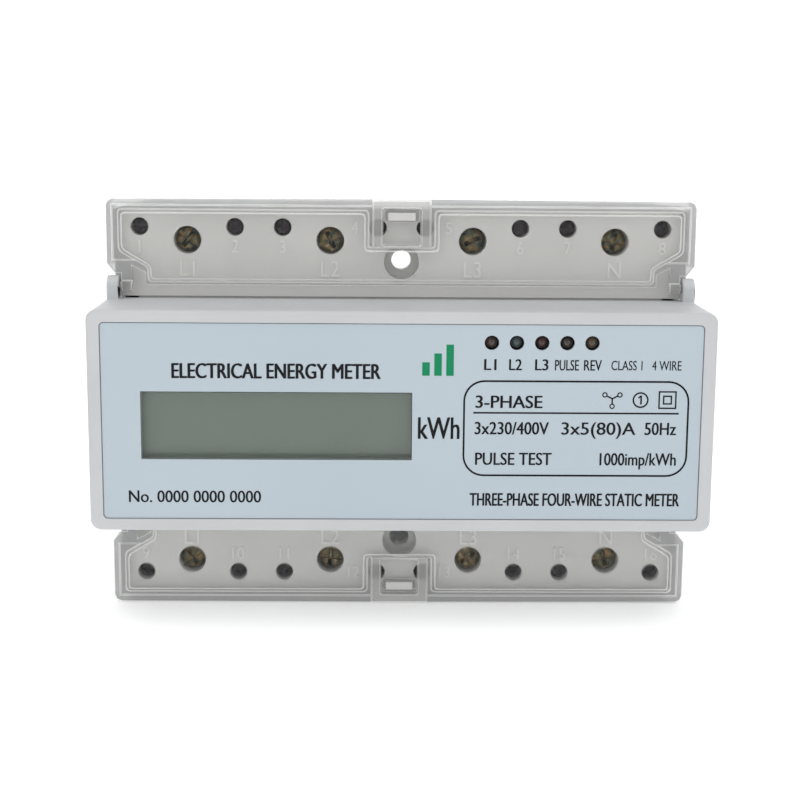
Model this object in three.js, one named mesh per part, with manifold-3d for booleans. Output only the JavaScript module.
// Three-phase, four-wire electricity meter for a 35 mm mounting rail.
// X runs to the right, +Z is up, and the front faces -Y.
// The origin is the middle of the face that sits on the rail. Millimetres.

import * as THREE from "three";
import { mergeVertices } from "three/addons/utils/BufferGeometryUtils.js";
import Module from "manifold-3d";

const wasm = await Module();
wasm.setup();

// ---- driving dimensions ----

const GAP = 0.3; // between neighbouring fixed pieces
const THROUGH = 1; // how far a cutting tool runs past a face

const BODY_HALF_WIDTH = 60.3;
const BASE_HALF_HEIGHT = 40.5;
const BACK_Y = 5; // rear plane of the base
const FLOOR_Y = -3; // inside face of the base behind the rail
const BLOCK_BACK_Y = -14;
const FACE_Y = -39; // face of both terminal blocks
const FRONT_Y = -61; // rim around the nameplate
const WALL = 2;

const NOSE_HALF_WIDTH = 63;
const NOSE_HALF_HEIGHT = 22.5;
const NOSE_CORNER = 2;
const LABEL_HALF_WIDTH = 60.15;
const LABEL_HALF_HEIGHT = 19.9;
const LABEL_Y = -60.7; // front of the nameplate
const RECESS_Y = -60.25; // floor of the nameplate recess
const NOSE_BACK_Y = FACE_Y + GAP;
const PLATE_BACK_Y = RECESS_Y + WALL; // inside of the wall behind the nameplate
const BOARD = { front: -46, back: -44.4, halfWidth: 55.5, halfHeight: 19.5 };
const BOARD_STAND = { x: 52, z: 16, radius: 2.5 };

const WINDOW = { left: -52.4, right: 2.0, bottom: -7.7, top: 6.1 };
const LED_Z = 16.3;
const LED_PLACES = {
  l1_led: 17.8,
  l2_led: 22.8,
  l3_led: 27.85,
  pulse_led: 32.9,
  reverse_led: 37.9,
};
const LED_RADIUS = 1.4;
const LED = { tip: -60.2, bodyRadius: 1.3, collarFront: -54, collarBack: -53.2, collarRadius: 1.6 };
const PANE_FLANGE = 1.7; // how far the display parts reach beyond the window
const GLASS = { front: PLATE_BACK_Y + 1.8, back: PLATE_BACK_Y + 4.2, beyond: 1.5 };

// legs of the nose that snap into windows in the base
const SNAP = { z: 12, halfHeight: 4, legInner: 56, legOuter: 58, barbInner: 57.5, barbOuter: 59.4 };
const SNAP_BARB = { front: -33.6, tip: -31 };

const BLOCK_INNER_Z = 22.8;
const BLOCK_OUTER_Z = 41.2;
const PHASES = { l1: -45, l2: -15, l3: 15, n: 45 };
const CLAMP_Z = 34.7;
const SCREW_HOLE_RADIUS = 2.9;
const SMALL_PLACES = [-55, -35, -25, -5, 5, 25, 35, 55];
const SMALL_Z = 37.45;
const SMALL_HOLE_RADIUS = 1.85;
const FIXING_Z = 30.3;
const FIXING_RADIUS = 2.1;
const FIXING_SEAT_RADIUS = 3.65;
const FIXING_SEAT_Y = -35.2;
const FIXING_SLOT = { halfWidth: 4, inner: 24, outer: 36.3 }; // the way through the base
const LEDGE = { halfWidth: 55.5, back: -34, bottom: 20.6 }; // of each block, behind the nose
const LATCH_HOOK = { halfWidth: 2.9, front: -41.3, bottom: 39.6, top: 41.1 };

const CAGE = { width: 11, height: 9, front: -29.5, back: -15.3 };
const CAGE_WINDOW = { width: 8, front: -27.1, back: -17.3 };
const CAGE_TRAVEL = 4;
const POCKET_FRONT_Y = CAGE.front - CAGE_TRAVEL - GAP;
const CAGE_HOLE_RADIUS = 2.5;
const BAR = { width: 7, front: -26.8, back: -24.8, halfLength: 38.9 };
const TRANSFORMER = { inner: 4.6, outer: 9, halfLength: 4.5 };
const ENTRY = { halfWidth: 4.1, front: -24.6, back: -17.2 }; // where a conductor goes in
const CLAMP_SCREW = { head: -37, headRadius: 2.7, neck: -34.9, radius: 2.3, cross: 0.9, crossDepth: 1.2 };
const SMALL_SCREW = { head: -37.4, headRadius: 1.65, neck: -36, radius: 1.1, tip: -29.5, slot: 0.6 };
const STRIP = { front: -33.2, spineBack: -28, fingerBack: -23.5, inner: 24.4, spine: 27.6, outer: 39.8 };
const STRIP_HALF_WIDTH = 57;
const FINGER_HALF = 1.9;
const SMALL_ENTRY = { half: 1.3, front: -29.4, back: -26.8 };

const COVER = {
  halfWidth: 61.7,
  outerZ: 43.5,
  innerZ: 25.4,
  front: -42,
  rim: -41.4,
  panelBack: -40.5,
  skirtBack: -34,
  skirtInnerZ: 29.9,
  skirtWall: 1.2,
  endWall: 1.4,
  corner: 1.5,
};
const LATCH = { halfWidth: 6, back: -39.4, bottom: 33.4 };
const LATCH_POCKET = { halfWidth: 4.6, floor: -40.1, bottom: 34.4 };
const LATCH_SLOT = { halfWidth: 3.6, bottom: 39.2, top: 41.5 };
const HINGE_Y = -40.8;
const HINGE_Z = 25.2;
const PIN_RADIUS = 0.85;
const PIN_HOLE_RADIUS = 1.05;
const PIN_TIP = 61.3;
const LEG = { inner: 56.4, outer: 58.7, bossRadius: 1.2 };
const EAR = { inner: 59.1, outer: 61.6, radius: 2.2, back: -39.3 };

const RAIL_HALF_HEIGHT = 17.8;
const SEAT_HALF_HEIGHT = 16; // of the face that rests on the rail, between two shallow grooves
const GROOVE_DEPTH = 0.4;
const RAIL_HOOK = { x: 35, halfWidth: 15, front: 1.6, back: 3.6, inner: 16.2 };
const REAR_HOLLOW = { innerX: 17, innerZ: 25.5 }; // behind each terminal block
const CLIP = { halfWidth: 14, front: 1.3, back: 3.6, tip: -16.2, tail: -42 };
const CLIP_SLOT = { halfWidth: 2.6, bottom: -32.9, top: -24 }; // lets the lower fixing screw pass
const SPRING = { radius: 2.1, wire: 0.35, x: -9, y: 1.5, top: -22.3, bottom: -31.3, turns: 5 };
const SPRING_POCKET_HALF = 3;

// ---- materials ----

function plastic(color, roughness = 0.55) {
  return new THREE.MeshStandardMaterial({ color, roughness, metalness: 0 });
}

function metal(color, roughness = 0.4) {
  return new THREE.MeshStandardMaterial({ color, roughness, metalness: 1 });
}

const LOOK = {
  housing: plastic(0xcdd0d1),
  block: plastic(0xbdbdba),
  clear: plastic(0xe4e8e8, 0.12),
  label: plastic(0xc2ced6, 0.4),
  window: plastic(0x74817a, 0.15),
  lcd: plastic(0x6d7a70, 0.3),
  dark: plastic(0x2b2c2e, 0.6),
  led: plastic(0x3a2a28, 0.2),
  board: plastic(0x2f6b4a, 0.5),
  copper: metal(0xb87348, 0.35),
  core: plastic(0x303a55, 0.5),
  brass: metal(0x8d7b4c, 0.35),
  steel: metal(0x555558, 0.4),
  zinc: metal(0xa9acae, 0.4),
  clip: plastic(0x2f3032, 0.6),
};

// ---- shapes ----

function box(x0, x1, y0, y1, z0, z1) {
  const shape = new THREE.BoxGeometry(x1 - x0, y1 - y0, z1 - z0);
  return shape.translate((x0 + x1) / 2, (y0 + y1) / 2, (z0 + z1) / 2);
}

function cylinderY(x, z, radius, y0, y1, sides = 24) {
  const shape = new THREE.CylinderGeometry(radius, radius, y1 - y0, sides);
  return shape.translate(x, (y0 + y1) / 2, z);
}

function cylinderX(y, z, radius, x0, x1, sides = 20) {
  const shape = new THREE.CylinderGeometry(radius, radius, x1 - x0, sides);
  return shape.rotateZ(Math.PI / 2).translate((x0 + x1) / 2, y, z);
}

// Two numbers, the smaller first.
function inOrder(first, second) {
  return first < second ? [first, second] : [second, first];
}

// A flat outline in X and Z, thickened from y0 to y1.
function plate(outline, y0, y1, arcSteps = 5) {
  const shape = new THREE.ExtrudeGeometry(outline, {
    depth: y1 - y0,
    bevelEnabled: false,
    curveSegments: arcSteps,
  });
  return shape.rotateX(Math.PI / 2).translate(0, y1, 0);
}

function roundedOutline(x0, x1, z0, z1, radius) {
  const outline = new THREE.Shape();
  outline.moveTo(x0 + radius, z0);
  outline.lineTo(x1 - radius, z0);
  outline.absarc(x1 - radius, z0 + radius, radius, -Math.PI / 2, 0);
  outline.lineTo(x1, z1 - radius);
  outline.absarc(x1 - radius, z1 - radius, radius, 0, Math.PI / 2);
  outline.lineTo(x0 + radius, z1);
  outline.absarc(x0 + radius, z1 - radius, radius, Math.PI / 2, Math.PI);
  outline.lineTo(x0, z0 + radius);
  outline.absarc(x0 + radius, z0 + radius, radius, Math.PI, Math.PI * 1.5);
  return outline;
}

// An outline that is the same on the left and right of X = 0.
function mirroredOutline(rightSide) {
  const left = rightSide.slice().reverse().map(([x, z]) => [-x, z]);
  return new THREE.Shape([...rightSide, ...left].map(([x, z]) => new THREE.Vector2(x, z)));
}

// A turned shape about the Y axis; the profile runs towards +Y.
function turned(profile, sides) {
  return new THREE.LatheGeometry(profile.map(([r, y]) => new THREE.Vector2(r, y)), sides);
}

// ---- joining and cutting ----

function toSolid(geometry) {
  const bare = geometry.clone();
  bare.deleteAttribute("normal");
  bare.deleteAttribute("uv");
  const merged = mergeVertices(bare, 1e-4);
  return new wasm.Manifold(new wasm.Mesh({
    numProp: 3,
    vertProperties: merged.attributes.position.array,
    triVerts: new Uint32Array(merged.index.array),
  }));
}

function toGeometry(solid) {
  const mesh = solid.getMesh();
  const geometry = new THREE.BufferGeometry();
  geometry.setAttribute("position", new THREE.BufferAttribute(mesh.vertProperties, 3));
  geometry.setIndex(new THREE.BufferAttribute(mesh.triVerts, 1));
  return geometry;
}

function carve(added, removed = []) {
  let solid = toSolid(added[0]);
  for (const piece of added.slice(1)) solid = solid.add(toSolid(piece));
  for (const tool of removed) solid = solid.subtract(toSolid(tool));
  return toGeometry(solid);
}

function piece(name, geometry, material, place = [0, 0, 0]) {
  const mesh = new THREE.Mesh(geometry, material);
  mesh.name = name;
  mesh.position.set(...place);
  return mesh;
}

// ---- base and its clip ----

function baseHousing() {
  const w = BODY_HALF_WIDTH;
  const h = BASE_HALF_HEIGHT;
  const cavity = BLOCK_INNER_Z - GAP * 2;
  const added = [
    box(-w, w, BLOCK_BACK_Y, BACK_Y, -h, h),
    box(-w, w, FACE_Y + 2 * GAP, BLOCK_BACK_Y + THROUGH, -cavity, cavity),
  ];
  const removed = [
    box(-w + WALL, w - WALL, FACE_Y - THROUGH, FLOOR_Y, -cavity - THROUGH / 2, cavity + THROUGH / 2),
    box(-w - THROUGH, w + THROUGH, 0, BACK_Y + THROUGH, -RAIL_HALF_HEIGHT, RAIL_HALF_HEIGHT),
  ];
  const railHooks = [];
  for (const side of [-1, 1]) {
    const hookX = side * RAIL_HOOK.x;
    railHooks.push(box(hookX - RAIL_HOOK.halfWidth, hookX + RAIL_HOOK.halfWidth,
      RAIL_HOOK.front, RAIL_HOOK.back, RAIL_HOOK.inner, RAIL_HALF_HEIGHT + 0.5));
    const [x0, x1] = inOrder(side * REAR_HOLLOW.innerX, side * (w - WALL));
    for (const end of [-1, 1]) {
      const [z0, z1] = inOrder(end * REAR_HOLLOW.innerZ, end * (h - WALL));
      removed.push(box(x0, x1, BLOCK_BACK_Y - THROUGH, BACK_Y - WALL, z0, z1));
    }
    const [slotLow, slotHigh] = inOrder(side * FIXING_SLOT.inner, side * FIXING_SLOT.outer);
    removed.push(box(-FIXING_SLOT.halfWidth, FIXING_SLOT.halfWidth, BLOCK_BACK_Y - THROUGH,
      BACK_Y + THROUGH, slotLow, slotHigh));
    const [grooveLow, grooveHigh] = inOrder(side * SEAT_HALF_HEIGHT, side * RAIL_HALF_HEIGHT);
    removed.push(box(-w - THROUGH, w + THROUGH, -GROOVE_DEPTH, THROUGH, grooveLow, grooveHigh));
    for (const z of [-SNAP.z, SNAP.z]) {
      const half = SNAP.halfHeight + 0.4;
      removed.push(box(side * w - 3, side * w + 3, SNAP_BARB.front - 1, SNAP_BARB.tip + 0.6,
        z - half, z + half));
    }
  }
  removed.push(
    box(-CLIP.halfWidth - GAP, CLIP.halfWidth + GAP, CLIP.front - GAP, CLIP.back + GAP, -h - 1, -17),
    box(-CLIP.halfWidth + 2, CLIP.halfWidth - 2, CLIP.back, BACK_Y + THROUGH, -h - 1, -17),
    box(SPRING.x - SPRING_POCKET_HALF, SPRING.x + SPRING_POCKET_HALF, SPRING.y - SPRING_POCKET_HALF, BACK_Y,
      SPRING.bottom - GAP, SPRING.top + GAP),
  );
  const stands = [];
  for (const x of [-BOARD_STAND.x, BOARD_STAND.x]) {
    for (const z of [-BOARD_STAND.z, BOARD_STAND.z]) {
      stands.push(cylinderY(x, z, BOARD_STAND.radius, BOARD.back + GAP, FLOOR_Y + THROUGH, 10));
    }
  }
  // rests under the current transformers
  const restFront = (BAR.front + BAR.back) / 2 + TRANSFORMER.outer + 0.4;
  for (const x of [PHASES.l1, PHASES.l2, PHASES.l3]) {
    stands.push(box(x - 5, x + 5, restFront, FLOOR_Y + THROUGH, -2, 2));
  }
  const shell = carve(added, removed);
  return piece("base_housing", carve([shell, ...railHooks, ...stands]), LOOK.housing);
}

function railClip() {
  const { halfWidth, front, back, tip, tail } = CLIP;
  const shape = carve(
    [box(-halfWidth, halfWidth, front, back, tail, tip)],
    [
      box(SPRING.x - SPRING_POCKET_HALF, SPRING.x + SPRING_POCKET_HALF, front - THROUGH, back + THROUGH,
        SPRING.bottom - 1, SPRING.top + GAP),
      box(-CLIP_SLOT.halfWidth, CLIP_SLOT.halfWidth, front - THROUGH, back + THROUGH,
        CLIP_SLOT.bottom, CLIP_SLOT.top),
      // where a screwdriver pulls the clip down
      box(-2.5, 2.5, front - THROUGH, back + THROUGH, tail + 1.6, tail + 4),
    ],
  );
  return piece("rail_clip", shape, LOOK.clip);
}

class Helix extends THREE.Curve {
  getPoint(t, target = new THREE.Vector3()) {
    const angle = t * SPRING.turns * Math.PI * 2;
    const low = SPRING.bottom + SPRING.wire;
    const high = SPRING.top - SPRING.wire;
    return target.set(
      SPRING.x + SPRING.radius * Math.cos(angle),
      SPRING.y + SPRING.radius * Math.sin(angle),
      low + (high - low) * t,
    );
  }
}

function clipSpring() {
  const section = new THREE.Shape();
  section.absarc(0, 0, SPRING.wire, 0, Math.PI * 2);
  const shape = new THREE.ExtrudeGeometry(section, {
    steps: SPRING.turns * 8,
    curveSegments: 3,
    extrudePath: new Helix(),
  });
  return piece("clip_spring", shape, LOOK.zinc);
}

// ---- front cover and what shows in it ----

function hingeEar(side, end) {
  const [low, high] = inOrder(side * EAR.inner, side * EAR.outer);
  const footZ = inOrder(end * (NOSE_HALF_HEIGHT - 1), end * HINGE_Z);
  const behindZ = inOrder(end * NOSE_HALF_HEIGHT, end * (HINGE_Z + 4));
  const ear = [
    cylinderX(HINGE_Y, end * HINGE_Z, EAR.radius, low, high),
    box(low, high, HINGE_Y - EAR.radius, EAR.back, ...footZ),
  ];
  return carve(ear, [
    cylinderX(HINGE_Y, end * HINGE_Z, PIN_HOLE_RADIUS, low - THROUGH, high + THROUGH, 12),
    box(low - THROUGH, high + THROUGH, EAR.back, FACE_Y + THROUGH, ...behindZ),
  ]);
}

function frontCover() {
  const w = NOSE_HALF_WIDTH;
  const h = NOSE_HALF_HEIGHT;
  const removed = [
    box(-w + WALL, w - WALL, PLATE_BACK_Y, NOSE_BACK_Y - WALL, -h + WALL, h - WALL),
    // leaves a flange at each end, where the snap legs stand
    box(-SNAP.legInner, SNAP.legInner, PLATE_BACK_Y + THROUGH, NOSE_BACK_Y + THROUGH, -h + WALL, h - WALL),
    box(-LABEL_HALF_WIDTH - 0.1, LABEL_HALF_WIDTH + 0.1, FRONT_Y - THROUGH, RECESS_Y,
      -LABEL_HALF_HEIGHT - 0.1, LABEL_HALF_HEIGHT + 0.1),
    box(WINDOW.left, WINDOW.right, FRONT_Y, PLATE_BACK_Y + THROUGH, WINDOW.bottom, WINDOW.top),
  ];
  for (const x of Object.values(LED_PLACES)) {
    removed.push(cylinderY(x, LED_Z, LED_RADIUS + 0.2, FRONT_Y, PLATE_BACK_Y + THROUGH, 12));
  }
  const shell = carve([plate(roundedOutline(-w, w, -h, h, NOSE_CORNER), FRONT_Y, NOSE_BACK_Y, 4)], removed);
  const joined = [shell];
  for (const side of [-1, 1]) {
    joined.push(hingeEar(side, -1), hingeEar(side, 1));
    const legs = inOrder(side * SNAP.legInner, side * SNAP.legOuter);
    const barbs = inOrder(side * SNAP.barbInner, side * SNAP.barbOuter);
    for (const z of [-SNAP.z, SNAP.z]) {
      const heights = [z - SNAP.halfHeight, z + SNAP.halfHeight];
      joined.push(box(...legs, NOSE_BACK_Y - 1, SNAP_BARB.tip, ...heights));
      joined.push(box(...barbs, SNAP_BARB.front, SNAP_BARB.tip, ...heights));
    }
  }
  return piece("front_cover", carve(joined), LOOK.housing);
}

function nameplate() {
  const cuts = [
    box(WINDOW.left, WINDOW.right, FRONT_Y, FACE_Y, WINDOW.bottom, WINDOW.top),
  ];
  for (const x of Object.values(LED_PLACES)) {
    cuts.push(cylinderY(x, LED_Z, LED_RADIUS + 0.1, FRONT_Y, FACE_Y, 16));
  }
  const sheet = box(-LABEL_HALF_WIDTH, LABEL_HALF_WIDTH, LABEL_Y, RECESS_Y - 0.1,
    -LABEL_HALF_HEIGHT, LABEL_HALF_HEIGHT);
  return piece("nameplate", carve([sheet], cuts), LOOK.label);
}

function displayParts() {
  const { left, right, bottom, top } = WINDOW;
  // a box over the window, so far beyond its edges
  const overWindow = (beyond, front, back) => box(
    left - beyond, right + beyond, front, back, bottom - beyond, top + beyond,
  );
  const pane = carve([
    overWindow(-0.15, LABEL_Y, PLATE_BACK_Y + 1),
    overWindow(PANE_FLANGE, PLATE_BACK_Y + GAP, PLATE_BACK_Y + 1.3),
  ]);
  const glass = overWindow(GLASS.beyond, GLASS.front, GLASS.back);
  const frame = carve(
    [overWindow(PANE_FLANGE, GLASS.back + GAP, BOARD.front - GAP)],
    [overWindow(-1, GLASS.back, BOARD.front)],
  );
  return [
    piece("display_window", pane, LOOK.window),
    piece("lcd_frame", frame, LOOK.dark),
    piece("lcd_panel", glass, LOOK.lcd),
  ];
}

function indicatorLeds() {
  const { tip, bodyRadius, collarFront, collarBack, collarRadius } = LED;
  const lens = turned([
    [0, tip], [0.9, tip + 0.3], [bodyRadius, tip + 1.1],
    [bodyRadius, collarFront], [collarRadius, collarFront], [collarRadius, collarBack], [0, collarBack],
  ], 10);
  const legFront = collarBack - GAP;
  const shape = carve([
    lens,
    box(-0.9, -0.4, legFront, BOARD.front - GAP, -0.25, 0.25),
    box(0.4, 0.9, legFront, BOARD.front - GAP, -0.25, 0.25),
  ]);
  return Object.entries(LED_PLACES).map(([name, x]) => piece(name, shape, LOOK.led, [x, 0, LED_Z]));
}

function mainBoard() {
  const { halfWidth, halfHeight, front, back } = BOARD;
  return piece("main_board", box(-halfWidth, halfWidth, front, back, -halfHeight, halfHeight), LOOK.board);
}

// ---- power path ----

function powerPath() {
  const pieces = [];
  const bar = box(-BAR.width / 2, BAR.width / 2, BAR.front, BAR.back, -BAR.halfLength, BAR.halfLength);
  for (const [phase, x] of Object.entries(PHASES)) {
    pieces.push(piece(`${phase}_busbar`, bar, LOOK.copper, [x, 0, 0]));
  }
  const middleY = (BAR.front + BAR.back) / 2;
  const { inner, outer, halfLength } = TRANSFORMER;
  const section = [[inner, -halfLength], [outer, -halfLength], [outer, halfLength], [inner, halfLength]];
  const ring = turned([...section, section[0]], 20);
  for (const phase of ["l1", "l2", "l3"]) {
    const transformer = piece(`${phase}_current_transformer`, ring, LOOK.core, [PHASES[phase], middleY, 0]);
    transformer.rotation.x = Math.PI / 2;
    pieces.push(transformer);
  }
  return pieces;
}

// ---- one terminal end, drawn as the upper one ----

function terminalBlock(name) {
  const w = BODY_HALF_WIDTH;
  const added = [
    plate(roundedOutline(-w, w, BLOCK_INNER_Z, BLOCK_OUTER_Z, 0.8), FACE_Y, BLOCK_BACK_Y - GAP, 3),
    box(-LATCH_HOOK.halfWidth, LATCH_HOOK.halfWidth, LATCH_HOOK.front, FACE_Y + THROUGH,
      LATCH_HOOK.bottom, LATCH_HOOK.top),
    box(-LEDGE.halfWidth, LEDGE.halfWidth, FACE_Y + 2 * GAP, LEDGE.back,
      LEDGE.bottom, BLOCK_INNER_Z + THROUGH),
  ];
  const pocketBack = BLOCK_BACK_Y + THROUGH;
  const removed = [
    box(-STRIP_HALF_WIDTH - GAP, STRIP_HALF_WIDTH + GAP, STRIP.front - GAP, pocketBack,
      STRIP.inner - GAP, STRIP.spine + GAP),
    cylinderY(0, FIXING_Z, FIXING_SEAT_RADIUS, FACE_Y - THROUGH, FIXING_SEAT_Y, 20),
    cylinderY(0, FIXING_Z, FIXING_RADIUS, FACE_Y, pocketBack, 16),
    box(-2.4, 2.4, -31, pocketBack, STRIP.spine, 35.8), // relief behind the fixing hole
  ];
  const pocketHalf = CAGE.width / 2 + 0.4;
  for (const x of Object.values(PHASES)) {
    removed.push(
      box(x - pocketHalf, x + pocketHalf, POCKET_FRONT_Y, pocketBack, 29.9, 39.5),
      box(x - ENTRY.halfWidth, x + ENTRY.halfWidth, ENTRY.front, ENTRY.back, 39, BLOCK_OUTER_Z + THROUGH),
      box(x - 3.8, x + 3.8, BAR.front - GAP, BAR.back + GAP, BLOCK_INNER_Z - THROUGH, 30.5),
      cylinderY(x, CLAMP_Z, SCREW_HOLE_RADIUS, FACE_Y - THROUGH, -34.6, 16),
      cylinderY(x, CLAMP_Z, 2.55, FACE_Y, POCKET_FRONT_Y + THROUGH, 12),
    );
  }
  for (const x of SMALL_PLACES) {
    const half = FINGER_HALF + GAP;
    removed.push(
      box(x - half, x + half, STRIP.front - GAP, pocketBack, STRIP.spine - 1, STRIP.outer + GAP),
      cylinderY(x, SMALL_Z, SMALL_HOLE_RADIUS, FACE_Y - THROUGH, STRIP.front, 12),
      box(x - SMALL_ENTRY.half, x + SMALL_ENTRY.half, SMALL_ENTRY.front, SMALL_ENTRY.back,
        STRIP.outer, BLOCK_OUTER_Z + THROUGH),
    );
  }
  return piece(name, carve(added, removed), LOOK.block);
}

function auxiliaryStrip(name) {
  const added = [
    box(-STRIP_HALF_WIDTH, STRIP_HALF_WIDTH, STRIP.front, STRIP.spineBack, STRIP.inner, STRIP.spine),
  ];
  const removed = [];
  for (const x of SMALL_PLACES) {
    added.push(box(x - FINGER_HALF, x + FINGER_HALF, STRIP.front, STRIP.fingerBack,
      STRIP.spine - 1, STRIP.outer));
    removed.push(cylinderY(x, SMALL_Z, 1.3, STRIP.front - THROUGH, -28.5, 8));
    removed.push(box(x - SMALL_ENTRY.half + 0.1, x + SMALL_ENTRY.half - 0.1, SMALL_ENTRY.front + 0.1,
      SMALL_ENTRY.back - 0.1, 35.4, STRIP.outer + THROUGH));
  }
  return piece(name, carve(added, removed), LOOK.dark);
}

function terminalCage() {
  const halfWidth = CAGE.width / 2;
  const halfWindow = CAGE_WINDOW.width / 2;
  const halfHeight = CAGE.height / 2;
  return carve(
    [box(-halfWidth, halfWidth, CAGE.front, CAGE.back, -halfHeight, halfHeight)],
    [
      box(-halfWindow, halfWindow, CAGE_WINDOW.front, CAGE_WINDOW.back, -halfHeight - 1, halfHeight + 1),
      cylinderY(0, 0, CAGE_HOLE_RADIUS, CAGE.front - THROUGH, CAGE_WINDOW.front + THROUGH, 12),
    ],
  );
}

function clampScrew() {
  const { head, headRadius, neck, radius, cross, crossDepth } = CLAMP_SCREW;
  const tip = CAGE_WINDOW.front;
  const turnedShape = turned([
    [0, head], [headRadius - 0.3, head], [headRadius, head + 0.3], [headRadius, neck],
    [radius, neck], [radius, tip], [0, tip],
  ], 14);
  return carve([turnedShape], [
    box(-2.2, 2.2, head - THROUGH, head + crossDepth, -cross / 2, cross / 2),
    box(-cross / 2, cross / 2, head - THROUGH, head + crossDepth, -1.6, 1.6),
  ]);
}

function smallScrew() {
  const { head, headRadius, neck, radius, tip, slot } = SMALL_SCREW;
  const turnedShape = turned([
    [0, head], [headRadius, head], [headRadius, neck], [radius, neck], [radius, tip], [0, tip],
  ], 10);
  return carve([turnedShape], [box(-1.3, 1.3, head - THROUGH, head + 0.7, -slot / 2, slot / 2)]);
}

function terminalCover(name) {
  const { halfWidth, outerZ, innerZ, front, rim, panelBack, skirtBack, corner } = COVER;
  const outline = mirroredOutline([
    [53.7, innerZ], [53.7, 28], [LEG.inner - 0.2, 29.4], [LEG.outer + 0.1, 29.4],
    [LEG.outer + 0.1, 27.8], [60, 27.8],
    [halfWidth, COVER.skirtInnerZ], [halfWidth, outerZ - corner],
    [halfWidth - 0.3 * corner, outerZ - 0.3 * corner], [halfWidth - corner, outerZ],
  ]);
  const raised = mirroredOutline([[53.7, innerZ], [53.7, 28.9], [59, 32.4], [59, outerZ - 1.8]]);
  const added = [plate(outline, rim, skirtBack)];
  const hollow = [
    box(-halfWidth + COVER.skirtWall, halfWidth - COVER.skirtWall, panelBack, skirtBack + THROUGH,
      innerZ - 3, outerZ - COVER.endWall),
    box(-halfWidth - 1, halfWidth + 1, panelBack, skirtBack + THROUGH, innerZ - 3, COVER.skirtInnerZ),
  ];
  const parts = [carve(added, hollow), plate(raised, front, rim + 0.2)];
  parts.push(box(-LATCH.halfWidth, LATCH.halfWidth, front, LATCH.back, LATCH.bottom, outerZ));
  for (const side of [-1, 1]) {
    const [legLow, legHigh] = inOrder(side * LEG.inner, side * LEG.outer);
    const [pinLow, pinHigh] = inOrder(side * (LEG.inner + 1), side * PIN_TIP);
    parts.push(box(legLow, legHigh, front, panelBack, HINGE_Z, 30));
    parts.push(cylinderX(HINGE_Y, HINGE_Z, LEG.bossRadius, legLow, legHigh, 12));
    parts.push(cylinderX(HINGE_Y, HINGE_Z, PIN_RADIUS, pinLow, pinHigh, 10));
  }
  const recess = [
    box(-LATCH_POCKET.halfWidth, LATCH_POCKET.halfWidth, front - THROUGH, LATCH_POCKET.floor,
      LATCH_POCKET.bottom, outerZ + THROUGH),
    box(-LATCH_SLOT.halfWidth, LATCH_SLOT.halfWidth, front, FACE_Y, LATCH_SLOT.bottom, LATCH_SLOT.top),
  ];
  return piece(name, carve(parts, recess), LOOK.clear);
}

// Turning the lower end half a turn about Y swaps left and right, so its names run backwards.
function terminalEnd(end) {
  const group = new THREE.Group();
  const isLower = end === "lower";
  const turn = isLower ? -1 : 1;
  group.rotation.y = isLower ? Math.PI : 0;
  group.add(terminalBlock(`${end}_terminal_block`));
  group.add(auxiliaryStrip(`${end}_auxiliary_strip`));
  group.add(terminalCover(`${end}_terminal_cover`));
  const cage = terminalCage();
  const screw = clampScrew();
  for (const [phase, x] of Object.entries(PHASES)) {
    group.add(piece(`${end}_${phase}_cage`, cage, LOOK.zinc, [turn * x, 0, CLAMP_Z]));
    group.add(piece(`${end}_${phase}_screw`, screw, LOOK.brass, [turn * x, 0, CLAMP_Z]));
  }
  const firstNumber = isLower ? SMALL_PLACES.length + 1 : 1;
  const shape = smallScrew();
  SMALL_PLACES.forEach((x, index) => {
    const name = `small_screw_${firstNumber + index}`;
    group.add(piece(name, shape, LOOK.steel, [turn * x, 0, SMALL_Z]));
  });
  return group;
}

// ---- the whole meter ----

const meter = new THREE.Group();
meter.add(baseHousing(), railClip(), clipSpring());
meter.add(frontCover(), nameplate(), ...displayParts(), ...indicatorLeds(), mainBoard());
meter.add(...powerPath());
meter.add(terminalEnd("upper"), terminalEnd("lower"));

export default meter;
